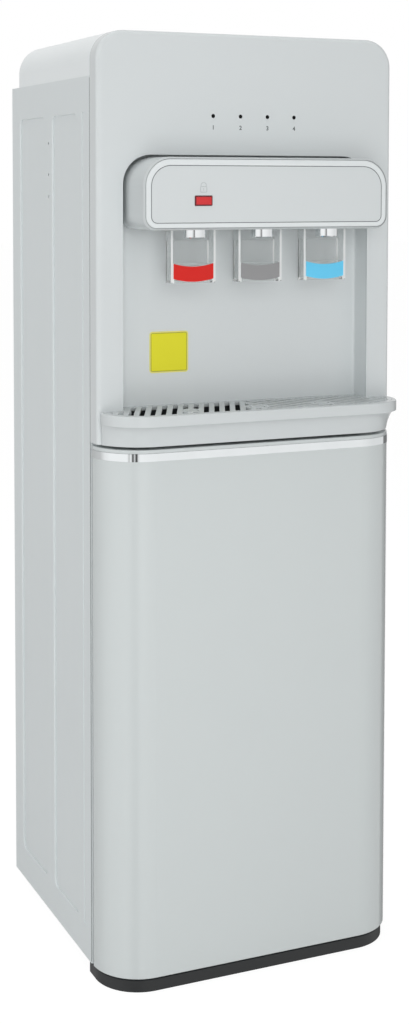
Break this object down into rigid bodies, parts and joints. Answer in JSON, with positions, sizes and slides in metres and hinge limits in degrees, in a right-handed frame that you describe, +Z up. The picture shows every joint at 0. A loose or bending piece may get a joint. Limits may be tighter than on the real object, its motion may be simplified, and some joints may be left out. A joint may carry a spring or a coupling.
{
  "type": "bottom load water cooler",
  "caption": "Free-standing water cooler with cup-operated taps in a niche over a drip shelf, and a bottle cupboard behind a bowed door below.",
  "frame": {"origin": "middle of the whole footprint, on the floor", "axes": "Z up, X to the viewer's right, the front with the door and taps faces -Y"},
  "size_m": [0.3572, 0.386, 1.036],
  "materials": {
    "body_plastic": "smooth satin, pale cool grey",
    "door_plastic": "smooth satin, pale cool grey",
    "face_panel": "glossy, near white",
    "painted_steel": "smooth satin paint",
    "zinc_steel": "zinc coated sheet",
    "dark_plastic": "fine grain, dark grey",
    "liner_plastic": "smooth, pale grey",
    "seal_rubber": "soft grey rubber",
    "clear_plastic": "clear, slightly cool",
    "red_plastic": "satin red",
    "grey_plastic": "satin grey",
    "blue_plastic": "satin light blue",
    "green_plastic": "satin green",
    "tap_chrome": "polished",
    "silicone": "translucent white silicone",
    "lamp_lens": "translucent lens, unlit",
    "spring_steel": "bare wire",
    "stainless": "satin stainless",
    "foam_white": "white foam block",
    "white_plastic": "plain white",
    "copper": "bare copper tube",
    "black_paint": "black enamel"
  },
  "bodies": {
    "cabinet": {"base_pan": "zinc_steel", "bottle_probe": "liner_plastic", "bottom_hinge": "zinc_steel", "cold_tank": "stainless", "cold_tank_jacket": "foam_white", "cold_tank_lid": "white_plastic", "cold_tap_body": "tap_chrome", "compartment_liner": "liner_plastic", "compressor": "black_paint", "condenser": "black_paint", "display_board": "green_plastic", "door_frame": "liner_plastic", "drain_plug": "dark_plastic", "evaporator_coil": "copper", "front_bezel": "body_plastic", "front_plinth": "dark_plastic", "hot_tank": "stainless", "hot_tank_jacket": "dark_plastic", "hot_tap_body": "tap_chrome", "housing_panel": "face_panel", "housing_rim": "face_panel", "indicator_lamps": "lamp_lens", "left_side_panel": "painted_steel", "levelling_feet": "dark_plastic", "lock_spring": "spring_steel", "mid_shelf": "zinc_steel", "niche_liner": "body_plastic", "power_board": "green_plastic", "probe_clip": "liner_plastic", "rear_panel": "zinc_steel", "right_side_panel": "painted_steel", "room_tap_body": "tap_chrome", "suction_hose": "silicone", "switch_block": "dark_plastic", "tank_shelf": "zinc_steel", "tap_hoses": "silicone", "tap_housing": "body_plastic", "top_cap": "body_plastic", "top_hinge": "zinc_steel", "tray_shelf": "body_plastic", "water_pump": "white_plastic"},
    "door": {"door_shell": "door_plastic", "door_liner": "liner_plastic", "door_trim": "face_panel", "door_gasket": "seal_rubber"},
    "lock_button": {"lock_button": "red_plastic"},
    "drip_basin": {"drip_basin": "body_plastic"},
    "drip_grille": {"drip_grille": "body_plastic"},
    "tank_float": {"tank_float": "white_plastic"},
    "hot_rocker": {"hot_switch_rocker": "red_plastic"},
    "cold_rocker": {"cold_switch_rocker": "green_plastic"},
    "hot_lever": {"hot_lever": "clear_plastic", "hot_lever_insert": "red_plastic"},
    "hot_stem": {"hot_valve_stem": "silicone"},
    "room_lever": {"room_lever": "clear_plastic", "room_lever_insert": "grey_plastic"},
    "room_stem": {"room_valve_stem": "silicone"},
    "cold_lever": {"cold_lever": "clear_plastic", "cold_lever_insert": "blue_plastic"},
    "cold_stem": {"cold_valve_stem": "silicone"}
  },
  "joints": [
    {"name": "door_hinge", "type": "hinge", "parent": "cabinet", "child": "door", "pos_m": [0.163, -0.142, 0.303], "axis": [0, 0, 1], "range_deg": [0, 115]},
    {"name": "lock_button_slide", "type": "slide", "parent": "cabinet", "child": "lock_button", "axis": [0, 1, 0], "range_m": [0, 0.0025], "stiffness_N_per_m": 400, "springref_m": -0.001, "deforming": ["lock_spring"]},
    {"name": "basin_lift", "type": "slide", "parent": "cabinet", "child": "drip_basin", "axis": [0, 0, 1], "range_m": [0, 0.06]},
    {"name": "grille_lift", "type": "slide", "parent": "drip_basin", "child": "drip_grille", "axis": [0, 0, 1], "range_m": [0, 0.07]},
    {"name": "float_slide", "type": "slide", "parent": "cabinet", "child": "tank_float", "axis": [0, 0, 1], "range_m": [0, 0.044]},
    {"name": "hot_lever_hinge", "type": "hinge", "parent": "cabinet", "child": "hot_lever", "pos_m": [-0.079, -0.179, 0.87], "axis": [1, 0, 0], "range_deg": [0, 9], "stiffness_Nm_per_rad": 0.35, "springref_deg": -6.88},
    {"name": "hot_stem_slide", "type": "slide", "parent": "cabinet", "child": "hot_stem", "axis": [0, 0, 1], "range_m": [0, 0.0017]},
    {"name": "room_lever_hinge", "type": "hinge", "parent": "cabinet", "child": "room_lever", "pos_m": [0, -0.179, 0.87], "axis": [1, 0, 0], "range_deg": [0, 9], "stiffness_Nm_per_rad": 0.35, "springref_deg": -6.88},
    {"name": "room_stem_slide", "type": "slide", "parent": "cabinet", "child": "room_stem", "axis": [0, 0, 1], "range_m": [0, 0.0017]},
    {"name": "cold_lever_hinge", "type": "hinge", "parent": "cabinet", "child": "cold_lever", "pos_m": [0.079, -0.179, 0.87], "axis": [1, 0, 0], "range_deg": [0, 9], "stiffness_Nm_per_rad": 0.35, "springref_deg": -6.88},
    {"name": "cold_stem_slide", "type": "slide", "parent": "cabinet", "child": "cold_stem", "axis": [0, 0, 1], "range_m": [0, 0.0017]},
    {"name": "hot_rocker_tilt", "type": "hinge", "parent": "cabinet", "child": "hot_rocker", "pos_m": [-0.1175, 0.1665, 0.934], "axis": [1, 0, 0], "range_deg": [-8, 8]},
    {"name": "cold_rocker_tilt", "type": "hinge", "parent": "cabinet", "child": "cold_rocker", "pos_m": [-0.0925, 0.1665, 0.934], "axis": [1, 0, 0], "range_deg": [-8, 8]}
  ],
  "couplings": [
    {"joint": "hot_stem_slide", "follows": "hot_lever_hinge", "m_per_rad": 0.01},
    {"joint": "room_stem_slide", "follows": "room_lever_hinge", "m_per_rad": 0.01},
    {"joint": "cold_stem_slide", "follows": "cold_lever_hinge", "m_per_rad": 0.01}
  ]
}
